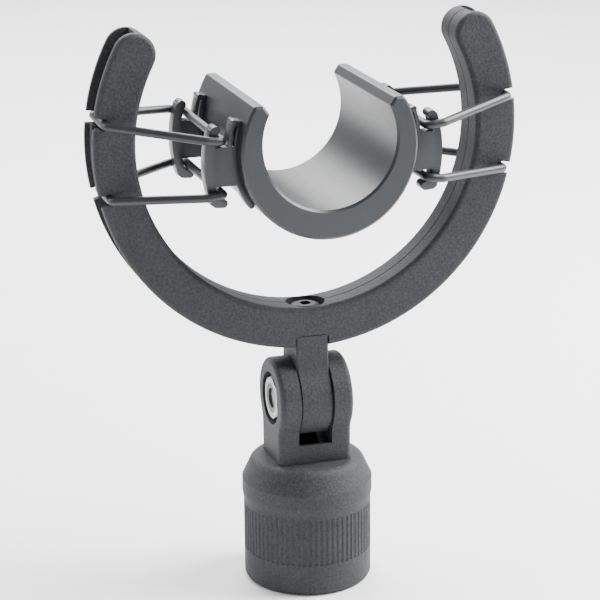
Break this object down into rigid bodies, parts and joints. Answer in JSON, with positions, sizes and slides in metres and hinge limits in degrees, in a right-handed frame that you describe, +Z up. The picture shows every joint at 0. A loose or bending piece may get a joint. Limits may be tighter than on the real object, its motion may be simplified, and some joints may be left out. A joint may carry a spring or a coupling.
{
  "type": "microphone suspension mount",
  "caption": "Elastic suspension mount for a stick or ribbon microphone: open clamp ring hung on rubber bands in a tilting horseshoe yoke on a screw-on fluted base cup.",
  "frame": {"origin": "centre of the base cup's bottom rim, which is also the bottom centre of the whole object's box", "axes": "+Z up through the cup, the pivot and the yoke; Y along the microphone in the clamp ring; X across the arms, along the tilt pivot. -Y is the front."},
  "size_m": [0.0824, 0.0336, 0.111],
  "materials": {
    "grained_plastic": "fine spark-grained matt dark grey moulding",
    "ring_plastic": "smooth satin-gloss blue-grey moulding",
    "band_rubber": "smooth black elastic cord with a light sheen",
    "nut_zinc": "bright zinc plate",
    "lock_nylon": "dark nylon",
    "bolt_steel": "plated steel",
    "screw_black": "black oxide",
    "insert_brass": "turned brass",
    "adapter_steel": "turned and plated"
  },
  "bodies": {
    "base": {"base_cup": "grained_plastic", "thread_insert": "insert_brass", "thread_adapter": "adapter_steel", "pivot_bolt": "bolt_steel", "pivot_nut": "nut_zinc", "nut_lock_ring": "lock_nylon"},
    "yoke": {"yoke_front_half": "grained_plastic", "yoke_back_half": "grained_plastic", "swivel_tongue": "grained_plastic", "yoke_screw": "screw_black"},
    "cradle": {"clamp_ring": "ring_plastic", "hook_left_front": "ring_plastic", "hook_left_back": "ring_plastic", "hook_right_front": "ring_plastic", "hook_right_back": "ring_plastic", "band_left_upper": "band_rubber", "band_left_lower": "band_rubber", "band_right_upper": "band_rubber", "band_right_lower": "band_rubber"}
  },
  "joints": [
    {"name": "yoke_tilt", "type": "hinge", "parent": "base", "child": "yoke", "pos_m": [0, 0, 0.0374], "axis": [1, 0, 0], "range_deg": [-115, 115]},
    {"name": "cradle_float", "type": "slide", "parent": "yoke", "child": "cradle", "axis": [0, 0, 1], "range_m": [-0.005, 0.005], "stiffness_N_per_m": 450, "deforming": ["band_left_upper", "band_left_lower", "band_right_upper", "band_right_lower"]}
  ]
}
